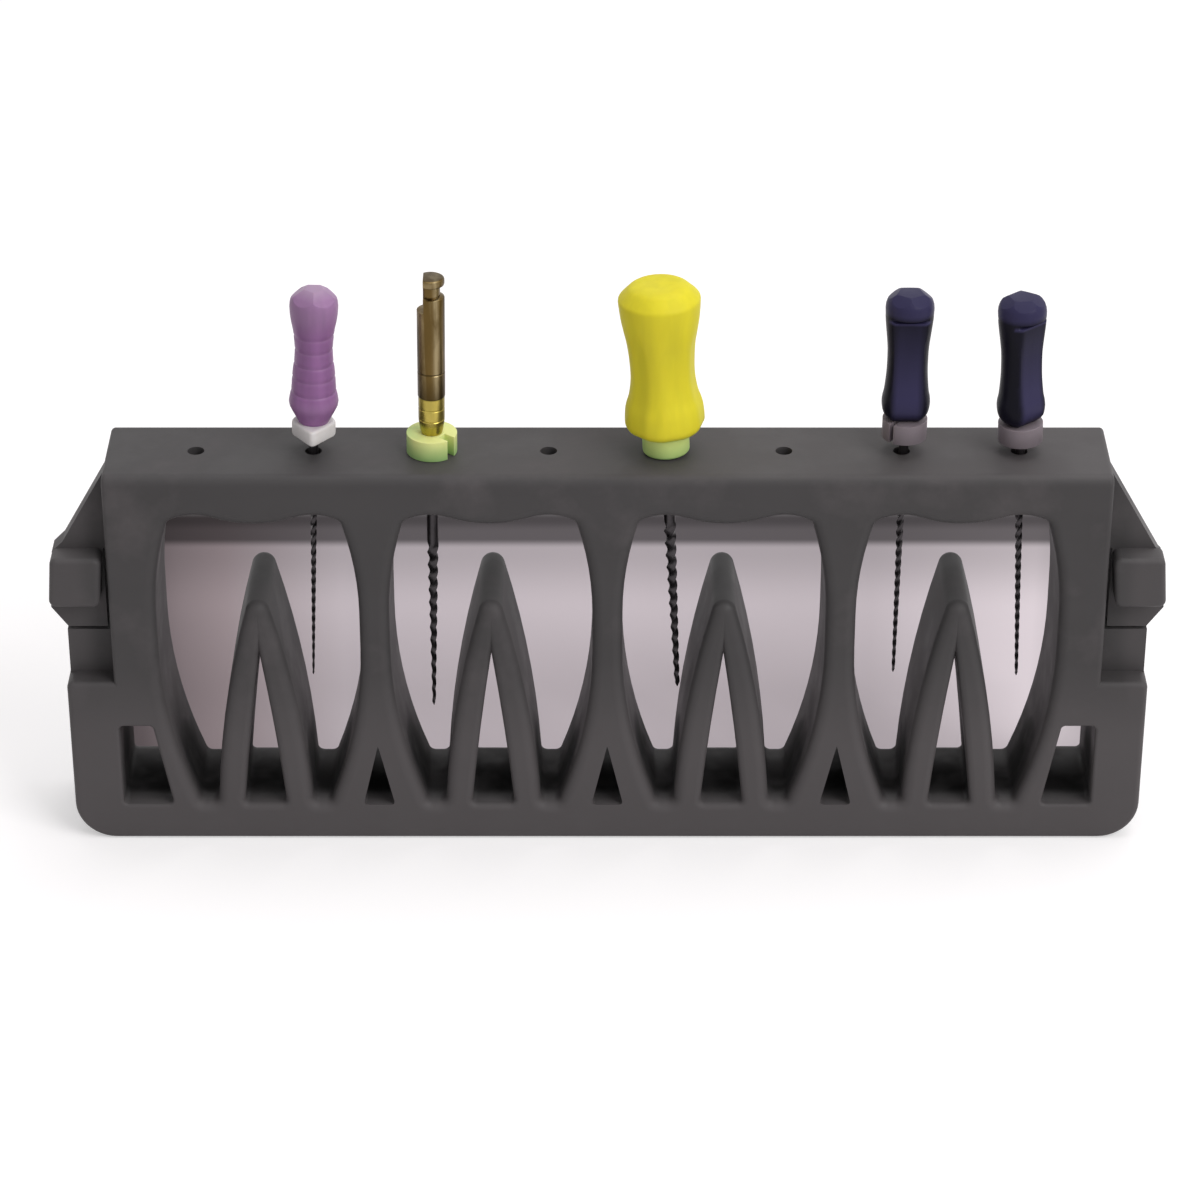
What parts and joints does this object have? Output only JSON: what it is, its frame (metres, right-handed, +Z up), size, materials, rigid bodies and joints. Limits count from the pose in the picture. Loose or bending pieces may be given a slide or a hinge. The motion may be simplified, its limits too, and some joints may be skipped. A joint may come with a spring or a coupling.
{
  "type": "root canal file holder",
  "caption": "Moulded stand with a pierced top shelf, molar shaped windows with forked roots, side tabs, and hand and engine files hanging in it.",
  "frame": {"origin": "middle of the underside of the holder, where it stands", "axes": "+Z up, +X along the row of holes to the right as seen from the front, front towards -Y"},
  "size_m": [0.0958, 0.01, 0.0524],
  "materials": {
    "holder_plastic": "fine matte moulding",
    "purple_plastic": "satin",
    "yellow_plastic": "satin",
    "navy_plastic": "gloss",
    "brass": "turned",
    "file_steel": "ground, dark",
    "white_silicone": "matte",
    "green_silicone": "matte",
    "grey_silicone": "matte"
  },
  "bodies": {
    "holder": {"holder_body": "holder_plastic", "purple_handle": "purple_plastic", "purple_blade": "file_steel", "gold_shank": "brass", "gold_blade": "file_steel", "gold_stop": "green_silicone", "yellow_handle": "yellow_plastic", "yellow_blade": "file_steel", "yellow_stop": "green_silicone", "navy_left_handle": "navy_plastic", "navy_left_blade": "file_steel", "navy_right_handle": "navy_plastic", "navy_right_blade": "file_steel"},
    "purple_stop": {"purple_stop": "white_silicone"},
    "navy_left_stop": {"navy_left_stop": "grey_silicone"},
    "navy_right_stop": {"navy_right_stop": "grey_silicone"}
  },
  "joints": [
    {"name": "purple_stop_slide", "type": "slide", "parent": "holder", "child": "purple_stop", "axis": [-0.0349, 0, -0.9994], "range_m": [0, 0.0014]},
    {"name": "navy_left_stop_slide", "type": "slide", "parent": "holder", "child": "navy_left_stop", "axis": [-0.0052, 0, -1], "range_m": [0, 0.00135]},
    {"name": "navy_right_stop_slide", "type": "slide", "parent": "holder", "child": "navy_right_stop", "axis": [0.0349, 0, -0.9994], "range_m": [0, 0.001]}
  ]
}
